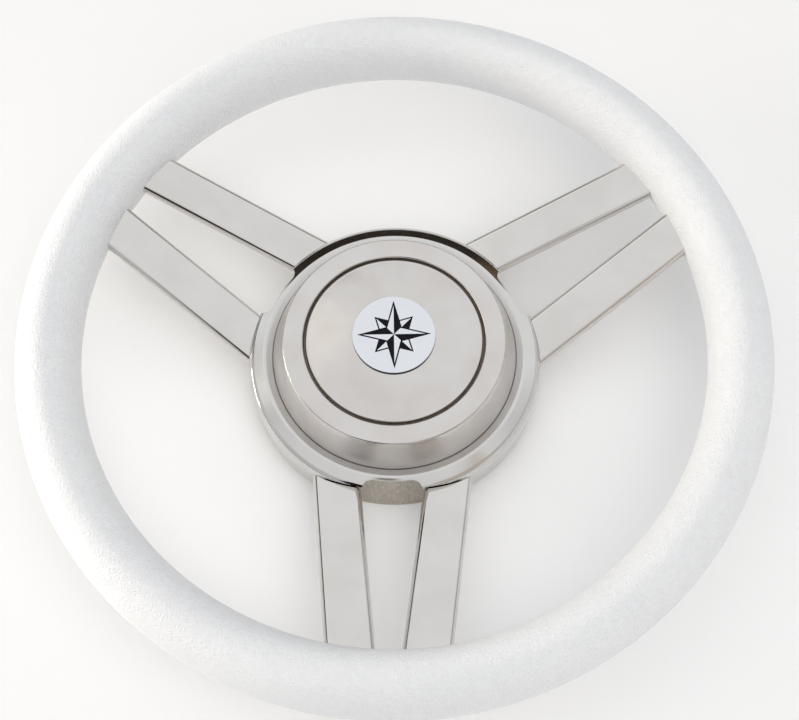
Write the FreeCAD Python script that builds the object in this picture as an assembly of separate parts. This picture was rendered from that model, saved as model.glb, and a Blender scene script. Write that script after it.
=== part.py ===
import FreeCAD, Part
import math
import os

# Stainless boat steering wheel: three pairs of flat bars run from a covered
# hub up to a white moulded rim. The wheel lies on the flat back of its hub.
# Origin: centre of the hub's back face. +Z is the shaft axis, towards the
# driver, and +Y is twelve o'clock. Lengths in millimetres, angles in degrees.

# Rim
RIM_OUTER_DIAMETER = 350.0
GRIP_WIDTH = 30.0
GRIP_DEPTH = 34.0
RIM_PLANE_HEIGHT = 38.5
CORE_DIAMETER = 12.0
CORE_WALL = 1.5

# Spoke bars, measured along the middle line of their pair
PAIR_COUNT = 3
FIRST_PAIR_ANGLE = 30.0
BAR_WIDTH = 21.8
BAR_THICKNESS = 4.0
BAR_FRONT_EDGE_RADIUS = 2.8
BAR_BACK_EDGE_RADIUS = 0.8
BAR_SPACING_AT_HUB = 49.8
BAR_SPACING_AT_GRIP = 33.4
BAR_FRONT_AT_HUB = 21.0
BAR_FRONT_AT_GRIP = 40.2

# Centre disc and emblem
DISC_RADIUS = 40.2
DISC_SET_DOWN = 0.3
DISC_EDGE_RADIUS = 0.7
DISC_DOME_RISE = 4.2
DISC_DOME_BULGE = 0.3
DISC_WALL = 2.2
DISC_SCREW_COUNT = 3
DISC_SCREW_INSET = 3.8
DISC_SCREW_FIRST_ANGLE = 90.0
DISC_SCREW_DIAMETER = 3.0
DISC_SCREW_LENGTH = 6.0
DISC_POST_RADIUS = 3.0
GROOVE_WIDTH = 2.0
GASKET_HEIGHT = 4.0
EMBLEM_RADIUS = 19.2
EMBLEM_THICKNESS = 2.0
EMBLEM_RECESS_DEPTH = 0.5
EMBLEM_EDGE_RADIUS = 0.4
EMBLEM_MARGIN = 0.6

# Cap collar: the polished ring round the centre disc, from the groove outwards
COLLAR_TOP_WIDTH = 9.5
COLLAR_TAPER = 5.7
COLLAR_THICKNESS = 1.5
COLLAR_TOP_HEIGHT = 40.0
COLLAR_SKIRT_HEIGHT = 11.0
COLLAR_SKIRT_BEND = 3.0
COLLAR_OUTER_BEND = 1.0
COLLAR_INNER_BEND = 1.0
COLLAR_WELL_DEPTH = 9.0
COLLAR_FLOOR_WIDTH = 8.2
COLLAR_TO_BELL_GAP = 0.5

# Bell: the polished shell over the hub, from the collar outwards
BELL_INNER_SLOPE_WIDTH = 3.5
BELL_INNER_SLOPE_ANGLE = 19.0
BELL_OUTER_SLOPE_WIDTH = 7.8
BELL_OUTER_SLOPE_ANGLE = 20.0
BELL_THICKNESS = 1.2
BELL_BACK_EDGE_HEIGHT = 3.5
BELL_CREST_HEIGHT = 23.5
BELL_SHOULDER_BEND = 4.3
BELL_CREST_BEND = 1.8
BELL_LIP_BEND = 1.4
BELL_WINDOW_SETBACK = 1.8
BELL_WINDOW_CORNER_RADIUS = 5.0
BELL_TO_BODY_CLEARANCE = 0.2
BAR_SIDE_CLEARANCE = 1.0
BAR_FRONT_CLEARANCE = 0.8

# Hub body: the turned steel flange under the bell
WEB_TOP_HEIGHT = 10.3
WEB_THICKNESS = 7.3
BACK_RIM_WIDTH = 8.8
BODY_EDGE_CHAMFER = 0.8
BODY_SETBACK = 0.4
BAR_SEAT_SETBACK = 2.2
BAR_SEAT_CLEARANCE = 0.15

# Shaft boss: the taper that drives the wheel
SHAFT_DIAMETER = 19.05
SHAFT_TAPER_PER_LENGTH = 1.0 / 12.0
KEYWAY_WIDTH = 4.76
KEYWAY_DEPTH = 2.4
BOSS_LENGTH = 24.0
BOSS_BARREL_RADIUS = 17.0
BOSS_FLANGE_RADIUS = 27.0
BOSS_FLANGE_THICKNESS = 5.0
BOSS_CLEARANCE = 0.05
NUT_SEAT_RADIUS = 14.5
NUT_SEAT_DEPTH = 2.0
BOSS_SCREW_COUNT = 6
BOSS_SCREW_CIRCLE_RADIUS = 22.0
BOSS_SCREW_DIAMETER = 5.0
BOSS_SCREW_LENGTH = 10.0

# Cap seat: the ring that holds the centre cap on the hub
SEAT_INNER_RADIUS = 33.0
SEAT_SPIGOT_WALL = 3.5
SEAT_FLANGE_THICKNESS = 3.0
SEAT_SET_DOWN = 0.6
SEAT_LEAD_IN = 0.7
SEAT_TO_COLLAR_CLEARANCE = 0.6
SEAT_SCREW_COUNT = 6
SEAT_SCREW_CIRCLE_RADIUS = 41.0
SEAT_SCREW_DIAMETER = 4.0
SEAT_SCREW_LENGTH = 8.0
SEAT_RING_SECTION = 2.6
SEAT_RING_CLEARANCE = 0.02

# Countersunk screws
HEAD_TO_SHANK = 2.0
HEAD_ANGLE = 90.0
SOCKET_TO_SHANK = 0.6
SOCKET_DEPTH_TO_SHANK = 0.45
TIP_CHAMFER_TO_SHANK = 0.125
HOLE_CLEARANCE = 0.2

# Two places closer than this are one place
TOUCH = 1e-6

Z_AXIS = FreeCAD.Vector(0, 0, 1)
ORIGIN = FreeCAD.Vector(0, 0, 0)

# Cutting shapes reach past the whole wheel
beyond = RIM_OUTER_DIAMETER
rim_radius = (RIM_OUTER_DIAMETER - GRIP_WIDTH) / 2
grip_inner_radius = RIM_OUTER_DIAMETER / 2 - GRIP_WIDTH

# Radii of the hub, from the centre disc outwards
disc_land_radius = EMBLEM_RADIUS + EMBLEM_MARGIN
disc_screw_circle_radius = DISC_RADIUS - DISC_SCREW_INSET
collar_floor_inner_radius = DISC_RADIUS - COLLAR_FLOOR_WIDTH
collar_bore_radius = DISC_RADIUS + GROOVE_WIDTH
collar_top_radius = collar_bore_radius + COLLAR_TOP_WIDTH
collar_skirt_radius = collar_top_radius + COLLAR_TAPER
bell_gutter_radius = collar_skirt_radius + COLLAR_TO_BELL_GAP
bell_crest_radius = bell_gutter_radius + BELL_INNER_SLOPE_WIDTH
bell_radius = bell_crest_radius + BELL_OUTER_SLOPE_WIDTH
bell_window_radius = bell_crest_radius + BELL_WINDOW_SETBACK
bar_seat_radius = bell_window_radius - BAR_SEAT_SETBACK
body_inset = BELL_THICKNESS + BELL_TO_BODY_CLEARANCE
body_top_radius = bell_window_radius - BODY_SETBACK
body_back_radius = bell_radius - body_inset
back_rim_inner_radius = body_back_radius - BACK_RIM_WIDTH

# Heights in the hub
bell_floor_top = WEB_TOP_HEIGHT + BELL_THICKNESS
web_bottom = WEB_TOP_HEIGHT - WEB_THICKNESS
collar_bend_height = bell_floor_top + COLLAR_SKIRT_HEIGHT
seat_top = collar_bend_height - SEAT_SET_DOWN
boss_screw_head_top = WEB_TOP_HEIGHT + BOSS_FLANGE_THICKNESS
seat_screw_head_top = bell_floor_top + SEAT_FLANGE_THICKNESS
well_floor_top = COLLAR_TOP_HEIGHT - COLLAR_WELL_DEPTH
well_floor_bottom = well_floor_top - COLLAR_THICKNESS
disc_edge_height = COLLAR_TOP_HEIGHT - DISC_SET_DOWN
disc_land_height = disc_edge_height + DISC_DOME_RISE


def point(radius, height):
    """Point of a section in the XZ plane."""
    return FreeCAD.Vector(radius, 0, height)


def line(start, end):
    return Part.LineSegment(start, end).toShape()


def arc_by_centre(centre, radius, start_angle, end_angle):
    """Arc in the XZ plane, angles from +X towards +Z."""
    def at(angle):
        turn = math.radians(angle)
        return centre + FreeCAD.Vector(radius * math.cos(turn), 0, radius * math.sin(turn))
    return Part.Arc(at(start_angle), at((start_angle + end_angle) / 2), at(end_angle)).toShape()


def revolved(edges):
    """Full turn about the Z axis of a closed section given by its edges."""
    wire = Part.Wire(Part.__sortEdges__(edges))
    solid = Part.Face(wire).revolve(ORIGIN, Z_AXIS, 360)
    return Part.Solid(solid.Shells[0]) if solid.ShapeType != "Solid" else solid


def turned(points):
    """Full turn of a section with straight sides, given as (radius, height)."""
    corners = [point(radius, height) for radius, height in points]
    return revolved([line(a, b) for a, b in zip(corners, corners[1:] + corners[:1])])


def left_of(direction):
    """Unit vector to the left of a direction in the XZ plane."""
    return FreeCAD.Vector(-direction.z, 0, direction.x)


def directions_along(corners):
    steps = [after - before for (before, _), (after, _) in zip(corners, corners[1:])]
    return [step.normalize() for step in steps]


def bent_line(corners):
    """Edges of a line through corners given as (point, bend radius)."""
    directions = directions_along(corners)
    edges = []
    start = corners[0][0]
    for (corner, bend), before, after in zip(corners[1:], directions, directions[1:]):
        if bend > TOUCH:
            tangent = bend * math.tan(before.getAngle(after) / 2)
            arc_start = corner - before * tangent
            arc_end = corner + after * tangent
            inward = (after - before).normalize()
            centre = corner + inward * math.hypot(bend, tangent)
            edges.append(line(start, arc_start))
            edges.append(Part.Arc(arc_start, centre - inward * bend, arc_end).toShape())
            start = arc_end
        else:
            edges.append(line(start, corner))
            start = corner
    edges.append(line(start, corners[-1][0]))
    return edges


def inset_corners(corners, inset):
    """Corners of the line at a distance to the left of another, with bends to match."""
    directions = directions_along(corners)
    sides = [left_of(direction) for direction in directions]
    moved = [(corners[0][0] + sides[0] * inset, 0.0)]
    for (corner, bend), first, second in zip(corners[1:], sides, sides[1:]):
        mitre = (first + second) * (inset / (1 + first.dot(second)))
        left_turn = first.x * second.z - first.z * second.x > 0
        moved.append((corner + mitre, max(bend - inset if left_turn else bend + inset, 0.0)))
    return moved + [(corners[-1][0] + sides[-1] * inset, 0.0)]


def sheet_ring(corners, thickness):
    """Full turn of a sheet of one thickness, whose outside face runs through the corners."""
    inside = inset_corners(corners, thickness)
    ends = [line(corners[end][0], inside[end][0]) for end in (0, -1)]
    return revolved(bent_line(corners) + bent_line(inside) + ends)


def height_on_line(start, end, radius):
    """Height at a radius of the straight line through two points."""
    return start.z + (end.z - start.z) * (radius - start.x) / (end.x - start.x)


def cylinder(radius, bottom, top, x=0.0, y=0.0):
    return Part.makeCylinder(radius, top - bottom, FreeCAD.Vector(x, y, bottom))


def places_on_circle(count, radius, first_angle=0.0):
    """Evenly spaced (x, y) places on a circle."""
    angles = [math.radians(first_angle + 360.0 * index / count) for index in range(count)]
    return [(radius * math.cos(angle), radius * math.sin(angle)) for angle in angles]


def joined(shapes):
    result = shapes[0]
    for shape in shapes[1:]:
        result = result.fuse(shape)
    return result


# Countersunk socket screws

def screw_head_height(diameter):
    """Height of the cone from the shank's edge out to the head's edge."""
    return diameter * (HEAD_TO_SHANK - 1) / 2 / math.tan(math.radians(HEAD_ANGLE / 2))


def countersunk_screw(x, y, head_top, diameter, length):
    """Screw driven down -Z, with its flat head's face at head_top."""
    head_radius = diameter * HEAD_TO_SHANK / 2
    cone_height = screw_head_height(diameter)
    tip_chamfer = diameter * TIP_CHAMFER_TO_SHANK
    body = turned([
        (0, head_top),
        (head_radius, head_top),
        (diameter / 2, head_top - cone_height),
        (diameter / 2, head_top - length + tip_chamfer),
        (diameter / 2 - tip_chamfer, head_top - length),
        (0, head_top - length),
    ])
    socket_floor = head_top - diameter * SOCKET_DEPTH_TO_SHANK
    socket = hexagon_prism(diameter * SOCKET_TO_SHANK, socket_floor, head_top)
    screw = body.cut(socket)
    screw.translate(FreeCAD.Vector(x, y, 0))
    return screw


def hexagon_prism(across_flats, bottom, top):
    corner_radius = across_flats / math.sqrt(3)
    corners = [FreeCAD.Vector(x, y, bottom) for x, y in places_on_circle(6, corner_radius)]
    face = Part.Face(Part.makePolygon(corners + corners[:1]))
    return face.extrude(FreeCAD.Vector(0, 0, top - bottom))


def countersink(x, y, head_top, diameter, depth):
    """Clearance hole for a countersunk screw, from head_top down through a depth."""
    head_radius = diameter * HEAD_TO_SHANK / 2
    hole_radius = diameter / 2 + HOLE_CLEARANCE
    cone_height = (head_radius - hole_radius) / math.tan(math.radians(HEAD_ANGLE / 2))
    hole = turned([
        (0, head_top),
        (head_radius, head_top),
        (hole_radius, head_top - cone_height),
        (hole_radius, head_top - depth),
        (0, head_top - depth),
    ])
    hole.translate(FreeCAD.Vector(x, y, 0))
    return hole


# Rim

def make_rim_core():
    core_radius = CORE_DIAMETER / 2
    inside = Part.makeTorus(rim_radius, core_radius - CORE_WALL)
    inside.translate(Z_AXIS * RIM_PLANE_HEIGHT)
    return core_space().cut(inside)


def core_space():
    space = Part.makeTorus(rim_radius, CORE_DIAMETER / 2)
    space.translate(Z_AXIS * RIM_PLANE_HEIGHT)
    return space


def make_rim_grip(bars):
    """Oval moulding with the core and the bar ends cast into it."""
    centre = point(rim_radius, RIM_PLANE_HEIGHT)
    deep_end = point(rim_radius, RIM_PLANE_HEIGHT + GRIP_DEPTH / 2)
    wide_end = point(rim_radius + GRIP_WIDTH / 2, RIM_PLANE_HEIGHT)
    oval = Part.Ellipse(deep_end, wide_end, centre).toShape()
    moulding = revolved([oval]).cut(core_space())
    for bar in bars:
        moulding = moulding.cut(bar)
    return moulding


# Spoke bars

def bar_line(side):
    """Two points of a bar's front face, at the hub wall and at the grip."""
    at_hub = FreeCAD.Vector(bell_radius, side * BAR_SPACING_AT_HUB / 2, BAR_FRONT_AT_HUB)
    at_grip = FreeCAD.Vector(grip_inner_radius, side * BAR_SPACING_AT_GRIP / 2, BAR_FRONT_AT_GRIP)
    return at_hub, at_grip


def bar_section(grow_side, grow_front, extra_depth):
    """Face of a bar's section: X across the bar, Z out of its front face.

    The grow values and the extra depth turn it into the section of a seat or a window.
    """
    half = BAR_WIDTH / 2 + grow_side
    back = -BAR_THICKNESS - extra_depth
    edges = []
    for side, radius, height, first, last in (
        (1, BAR_FRONT_EDGE_RADIUS, grow_front - BAR_FRONT_EDGE_RADIUS, 0, 90),
        (-1, BAR_FRONT_EDGE_RADIUS, grow_front - BAR_FRONT_EDGE_RADIUS, 90, 180),
        (-1, BAR_BACK_EDGE_RADIUS, back + BAR_BACK_EDGE_RADIUS, 180, 270),
        (1, BAR_BACK_EDGE_RADIUS, back + BAR_BACK_EDGE_RADIUS, 270, 360),
    ):
        edges.append(arc_by_centre(point(side * (half - radius), height), radius, first, last))
    for corner, following in zip(edges, edges[1:] + edges[:1]):
        edges = edges + [line(corner.lastVertex().Point, following.firstVertex().Point)]
    return Part.Face(Part.Wire(Part.__sortEdges__(edges)))


def bar_prism(side, start_u, end_u, grow_side=0.0, grow_front=0.0, extra_depth=0.0):
    """Bar along its line between two distances from the axis, in its pair's own frame."""
    at_hub, at_grip = bar_line(side)
    run = at_grip - at_hub
    direction = FreeCAD.Vector(run)
    direction.normalize()
    across = Z_AXIS.cross(direction)
    across.normalize()
    upward = direction.cross(across)
    start = at_hub + run * ((start_u - at_hub.x) / run.x)
    end = at_hub + run * ((end_u - at_hub.x) / run.x)
    section = bar_section(grow_side, grow_front, extra_depth)
    section.Placement = FreeCAD.Placement(start, FreeCAD.Rotation(across, direction * -1, upward, "XZY"))
    return section.extrude(end - start)


def turned_to_pair(shape, pair):
    angle = FIRST_PAIR_ANGLE + 360.0 / PAIR_COUNT * pair
    return shape.rotate(ORIGIN, Z_AXIS, angle)


def make_bar(side, pair):
    """Flat bar from its seat in the hub body to the core inside the rim."""
    inner_end = bar_seat_radius - BAR_WIDTH
    bar = bar_prism(side, inner_end, rim_radius)
    bar = bar.cut(cylinder(bar_seat_radius, -beyond, beyond))
    bar = bar.cut(core_space())
    bar = max(bar.Solids, key=lambda solid: solid.Volume)
    return turned_to_pair(bar, pair)


# Hub

def bell_corners():
    """Corners of the bell's outside, from its back edge over the crest to its inner rim."""
    outer_fall = math.tan(math.radians(BELL_OUTER_SLOPE_ANGLE)) * BELL_OUTER_SLOPE_WIDTH
    inner_fall = math.tan(math.radians(BELL_INNER_SLOPE_ANGLE)) * BELL_INNER_SLOPE_WIDTH
    return [
        (point(bell_radius, BELL_BACK_EDGE_HEIGHT), 0.0),
        (point(bell_radius, BELL_CREST_HEIGHT - outer_fall), BELL_SHOULDER_BEND),
        (point(bell_crest_radius, BELL_CREST_HEIGHT), BELL_CREST_BEND),
        (point(bell_gutter_radius, BELL_CREST_HEIGHT - inner_fall), BELL_LIP_BEND),
        (point(bell_gutter_radius, bell_floor_top), 0.0),
        (point(SEAT_INNER_RADIUS, bell_floor_top), 0.0),
    ]


def make_hub_body():
    """Turned flange: a conical rim under the bell, a thinner web and six milled bar seats."""
    wall_top, shoulder, crest, lip = inset_corners(bell_corners(), body_inset)[:4]
    cone_back = point(body_back_radius, 0)
    cone_top = point(body_top_radius, height_on_line(shoulder[0], crest[0], body_top_radius))
    bore = BOSS_BARREL_RADIUS + BOSS_CLEARANCE
    chamfer_end = cone_back + (cone_top - cone_back).normalize() * BODY_EDGE_CHAMFER
    section = [
        (point(bore, WEB_TOP_HEIGHT), 0.0),
        (point(bore, web_bottom), 0.0),
        (point(back_rim_inner_radius, web_bottom), 0.0),
        (point(back_rim_inner_radius, 0), 0.0),
        (point(body_back_radius - BODY_EDGE_CHAMFER, 0), 0.0),
        (chamfer_end, 0.0),
        (cone_top, 0.0),
        crest,
        lip,
        (point(lip[0].x, WEB_TOP_HEIGHT), 0.0),
        (point(bore, WEB_TOP_HEIGHT), 0.0),
    ]
    body = revolved(bent_line(section))
    screw_tip = boss_screw_head_top - BOSS_SCREW_LENGTH
    for x, y in places_on_circle(BOSS_SCREW_COUNT, BOSS_SCREW_CIRCLE_RADIUS):
        body = body.cut(cylinder(BOSS_SCREW_DIAMETER / 2, screw_tip, WEB_TOP_HEIGHT, x, y))
    screw_tip = seat_screw_head_top - SEAT_SCREW_LENGTH
    for x, y in places_on_circle(SEAT_SCREW_COUNT, SEAT_SCREW_CIRCLE_RADIUS):
        body = body.cut(cylinder(SEAT_SCREW_DIAMETER / 2, screw_tip, WEB_TOP_HEIGHT, x, y))
    for pair in range(PAIR_COUNT):
        for side in (-1, 1):
            body = body.cut(bar_seat(side, pair))
    return body


def bar_seat(side, pair):
    """Milled slot for a bar: open upwards and outwards, with a round inner end."""
    prism = bar_prism(side, bar_seat_radius - BAR_WIDTH, bell_radius + BAR_WIDTH,
                      grow_side=BAR_SEAT_CLEARANCE, grow_front=BELL_CREST_HEIGHT)
    prism = prism.cut(cylinder(bar_seat_radius, -beyond, beyond))
    return turned_to_pair(prism, pair)


def bell_window(pair):
    """Opening in the bell's skirt for one pair of bars, open at the back edge.

    It follows each bar's front face, and rises between the bars to the crest.
    """
    inside = cylinder(bell_window_radius, -beyond, beyond)
    slots = []
    for side in (-1, 1):
        slot = bar_prism(side, bell_window_radius - BAR_WIDTH, bell_radius + BAR_WIDTH,
                         grow_side=BAR_SIDE_CLEARANCE, grow_front=BAR_FRONT_CLEARANCE,
                         extra_depth=beyond)
        slots.append(slot.cut(inside))
    inner_edge = BAR_SPACING_AT_HUB / 2 - BAR_WIDTH / 2
    spread = (BAR_SPACING_AT_HUB - BAR_SPACING_AT_GRIP) / 2 / (grip_inner_radius - bell_radius)
    near = bell_window_radius / 2
    far = bell_radius + BAR_WIDTH
    corners = []
    for u, side in ((near, -1), (far, -1), (far, 1), (near, 1)):
        corners.append(FreeCAD.Vector(u, side * (inner_edge - spread * (u - bell_radius)), 0))
    gap = Part.Face(Part.makePolygon(corners + corners[:1])).extrude(Z_AXIS * beyond)
    gap = gap.cut(inside)
    upright = [edge for edge in gap.Edges if along_z(edge) and inner_corner(edge)]
    gap = gap.makeFillet(BELL_WINDOW_CORNER_RADIUS, upright)
    return turned_to_pair(joined([gap] + slots), pair)


def along_z(edge):
    return edge.BoundBox.XLength < TOUCH and edge.BoundBox.YLength < TOUCH


def inner_corner(edge):
    middle = edge.CenterOfMass
    return abs(math.hypot(middle.x, middle.y) - bell_window_radius) < TOUCH


def make_bell():
    """Drawn shell: skirt, rounded shoulder, slopes up to a crest and down to the collar, flat floor."""
    bell = sheet_ring(bell_corners(), BELL_THICKNESS)
    for x, y in places_on_circle(SEAT_SCREW_COUNT, SEAT_SCREW_CIRCLE_RADIUS):
        bell = bell.cut(cylinder(SEAT_SCREW_DIAMETER / 2 + HOLE_CLEARANCE, 0, BELL_CREST_HEIGHT, x, y))
    for pair in range(PAIR_COUNT):
        bell = bell.cut(bell_window(pair))
    return bell


def make_boss():
    """Flanged sleeve with the shaft's taper, its keyway and the seat for the shaft nut."""
    flange_top = boss_screw_head_top
    boss = turned([
        (0, 0),
        (BOSS_BARREL_RADIUS, 0),
        (BOSS_BARREL_RADIUS, WEB_TOP_HEIGHT),
        (BOSS_FLANGE_RADIUS, WEB_TOP_HEIGHT),
        (BOSS_FLANGE_RADIUS, flange_top),
        (BOSS_BARREL_RADIUS, flange_top),
        (BOSS_BARREL_RADIUS, BOSS_LENGTH),
        (0, BOSS_LENGTH),
    ])
    large = SHAFT_DIAMETER / 2
    small = large - BOSS_LENGTH * SHAFT_TAPER_PER_LENGTH / 2
    taper = Part.makeCone(large, small, BOSS_LENGTH)
    nut_seat = cylinder(NUT_SEAT_RADIUS, BOSS_LENGTH - NUT_SEAT_DEPTH, BOSS_LENGTH)
    key = Part.makeBox(KEYWAY_WIDTH, large + KEYWAY_DEPTH, BOSS_LENGTH,
                       FreeCAD.Vector(-KEYWAY_WIDTH / 2, 0, 0))
    boss = boss.cut(taper).cut(nut_seat).cut(key)
    for x, y in places_on_circle(BOSS_SCREW_COUNT, BOSS_SCREW_CIRCLE_RADIUS):
        boss = boss.cut(countersink(x, y, flange_top, BOSS_SCREW_DIAMETER, BOSS_FLANGE_THICKNESS))
    return boss


def make_boss_screws():
    screws = []
    for x, y in places_on_circle(BOSS_SCREW_COUNT, BOSS_SCREW_CIRCLE_RADIUS):
        screw = countersunk_screw(x, y, boss_screw_head_top, BOSS_SCREW_DIAMETER, BOSS_SCREW_LENGTH)
        screws.append(screw)
    return Part.makeCompound(screws)


# Centre cap

def make_seat_ring():
    """Rubber ring that grips the collar from its groove in the cap seat."""
    height = (seat_screw_head_top + seat_top) / 2
    outer = collar_skirt_radius - COLLAR_THICKNESS - SEAT_RING_CLEARANCE
    ring = Part.makeTorus(outer - SEAT_RING_SECTION / 2, SEAT_RING_SECTION / 2)
    ring.translate(Z_AXIS * height)
    return ring


def make_cap_seat():
    """Flanged spigot with a groove for the rubber ring."""
    spigot_outer = collar_skirt_radius - COLLAR_THICKNESS - SEAT_TO_COLLAR_CLEARANCE
    spigot_inner = spigot_outer - SEAT_SPIGOT_WALL
    seat = turned([
        (SEAT_INNER_RADIUS, bell_floor_top),
        (spigot_outer, bell_floor_top),
        (spigot_outer, seat_top - SEAT_LEAD_IN),
        (spigot_outer - SEAT_LEAD_IN, seat_top),
        (spigot_inner, seat_top),
        (spigot_inner, seat_screw_head_top),
        (SEAT_INNER_RADIUS, seat_screw_head_top),
    ])
    for x, y in places_on_circle(SEAT_SCREW_COUNT, SEAT_SCREW_CIRCLE_RADIUS):
        seat = seat.cut(countersink(x, y, seat_screw_head_top, SEAT_SCREW_DIAMETER, SEAT_FLANGE_THICKNESS))
    return seat.cut(make_seat_ring())


def make_seat_screws():
    screws = []
    for x, y in places_on_circle(SEAT_SCREW_COUNT, SEAT_SCREW_CIRCLE_RADIUS):
        screw = countersunk_screw(x, y, seat_screw_head_top, SEAT_SCREW_DIAMETER, SEAT_SCREW_LENGTH)
        screws.append(screw)
    return Part.makeCompound(screws)


def make_collar():
    """Pressed ring: straight skirt, conical side, flat front and a well for the disc."""
    collar = sheet_ring([
        (point(collar_skirt_radius, bell_floor_top), 0.0),
        (point(collar_skirt_radius, collar_bend_height), COLLAR_SKIRT_BEND),
        (point(collar_top_radius, COLLAR_TOP_HEIGHT), COLLAR_OUTER_BEND),
        (point(collar_bore_radius, COLLAR_TOP_HEIGHT), COLLAR_INNER_BEND),
        (point(collar_bore_radius, well_floor_top), 0.0),
        (point(collar_floor_inner_radius, well_floor_top), 0.0),
    ], COLLAR_THICKNESS)
    for x, y in places_on_circle(DISC_SCREW_COUNT, disc_screw_circle_radius, DISC_SCREW_FIRST_ANGLE):
        hole = countersink(x, y, -well_floor_bottom, DISC_SCREW_DIAMETER, COLLAR_THICKNESS)
        hole = hole.mirror(ORIGIN, Z_AXIS)
        collar = collar.cut(hole)
    return collar


def make_disc():
    """Domed disc: a flat land for the emblem, a skirt and three screw posts inside."""
    skirt_inner = DISC_RADIUS - DISC_WALL
    edge = DISC_EDGE_RADIUS
    edge_centre = point(DISC_RADIUS - edge, disc_edge_height - edge)
    dome_end = point(edge_centre.x, disc_edge_height)
    land_edge = point(disc_land_radius, disc_land_height)
    dome_middle = (land_edge + dome_end) * 0.5 + Z_AXIS * DISC_DOME_BULGE
    under_edge = point(skirt_inner, disc_edge_height - DISC_WALL)
    under_land = point(disc_land_radius, disc_land_height - DISC_WALL)
    edges = [
        line(point(0, disc_land_height), land_edge),
        Part.Arc(land_edge, dome_middle, dome_end).toShape(),
        arc_by_centre(edge_centre, edge, 90, 0),
        line(point(DISC_RADIUS, edge_centre.z), point(DISC_RADIUS, well_floor_top)),
        line(point(DISC_RADIUS, well_floor_top), point(skirt_inner, well_floor_top)),
        line(point(skirt_inner, well_floor_top), under_edge),
        line(under_edge, under_land),
        line(under_land, point(0, under_land.z)),
        line(point(0, under_land.z), point(0, disc_land_height)),
    ]
    disc = revolved(edges)
    posts = []
    for x, y in places_on_circle(DISC_SCREW_COUNT, disc_screw_circle_radius, DISC_SCREW_FIRST_ANGLE):
        posts.append(cylinder(DISC_POST_RADIUS, well_floor_top, edge_centre.z, x, y))
    disc = joined([disc] + posts)
    for x, y in places_on_circle(DISC_SCREW_COUNT, disc_screw_circle_radius, DISC_SCREW_FIRST_ANGLE):
        depth = DISC_SCREW_LENGTH - COLLAR_THICKNESS
        disc = disc.cut(cylinder(DISC_SCREW_DIAMETER / 2, well_floor_top, well_floor_top + depth, x, y))
    recess_floor = disc_land_height - EMBLEM_RECESS_DEPTH
    return disc.cut(cylinder(EMBLEM_RADIUS, recess_floor, disc_land_height + beyond))


def make_disc_screws():
    screws = []
    for x, y in places_on_circle(DISC_SCREW_COUNT, disc_screw_circle_radius, DISC_SCREW_FIRST_ANGLE):
        screw = countersunk_screw(x, y, -well_floor_bottom, DISC_SCREW_DIAMETER, DISC_SCREW_LENGTH)
        screws.append(screw.mirror(ORIGIN, Z_AXIS))
    return Part.makeCompound(screws)


def make_gasket():
    return turned([
        (DISC_RADIUS, well_floor_top),
        (collar_bore_radius, well_floor_top),
        (collar_bore_radius, well_floor_top + GASKET_HEIGHT),
        (DISC_RADIUS, well_floor_top + GASKET_HEIGHT),
    ])


def make_emblem():
    bottom = disc_land_height - EMBLEM_RECESS_DEPTH
    top = bottom + EMBLEM_THICKNESS
    edge = EMBLEM_EDGE_RADIUS
    return revolved([
        line(point(0, bottom), point(EMBLEM_RADIUS, bottom)),
        line(point(EMBLEM_RADIUS, bottom), point(EMBLEM_RADIUS, top - edge)),
        arc_by_centre(point(EMBLEM_RADIUS - edge, top - edge), edge, 0, 90),
        line(point(EMBLEM_RADIUS - edge, top), point(0, top)),
        line(point(0, top), point(0, bottom)),
    ])


PAIR_NAMES = ("right", "left", "bottom")
SIDE_NAMES = {-1: "first", 1: "second"}


def make_parts():
    parts = {}
    bars = []
    for pair in range(PAIR_COUNT):
        for side in (-1, 1):
            bar = make_bar(side, pair)
            bars.append(bar)
            parts["spoke_bar_%s_%s" % (PAIR_NAMES[pair], SIDE_NAMES[side])] = bar
    parts["rim_core"] = make_rim_core()
    parts["rim_grip"] = make_rim_grip(bars)
    parts["hub_body"] = make_hub_body()
    parts["hub_bell"] = make_bell()
    parts["shaft_boss"] = make_boss()
    parts["boss_screws"] = make_boss_screws()
    parts["cap_seat"] = make_cap_seat()
    parts["cap_seat_screws"] = make_seat_screws()
    parts["cap_seat_ring"] = make_seat_ring()
    parts["cap_collar"] = make_collar()
    parts["cap_disc"] = make_disc()
    parts["cap_disc_screws"] = make_disc_screws()
    parts["cap_gasket"] = make_gasket()
    parts["emblem_disc"] = make_emblem()
    return parts


os.makedirs("parts", exist_ok=True)
for name, shape in make_parts().items():
    shape.exportStep(os.path.join("parts", name + ".step"))
    print(name, "solids", len(shape.Solids), "valid", shape.isValid(), "volume", round(shape.Volume, 1))
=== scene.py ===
import math
import bmesh
import bpy
from mathutils import Matrix, Vector


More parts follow.
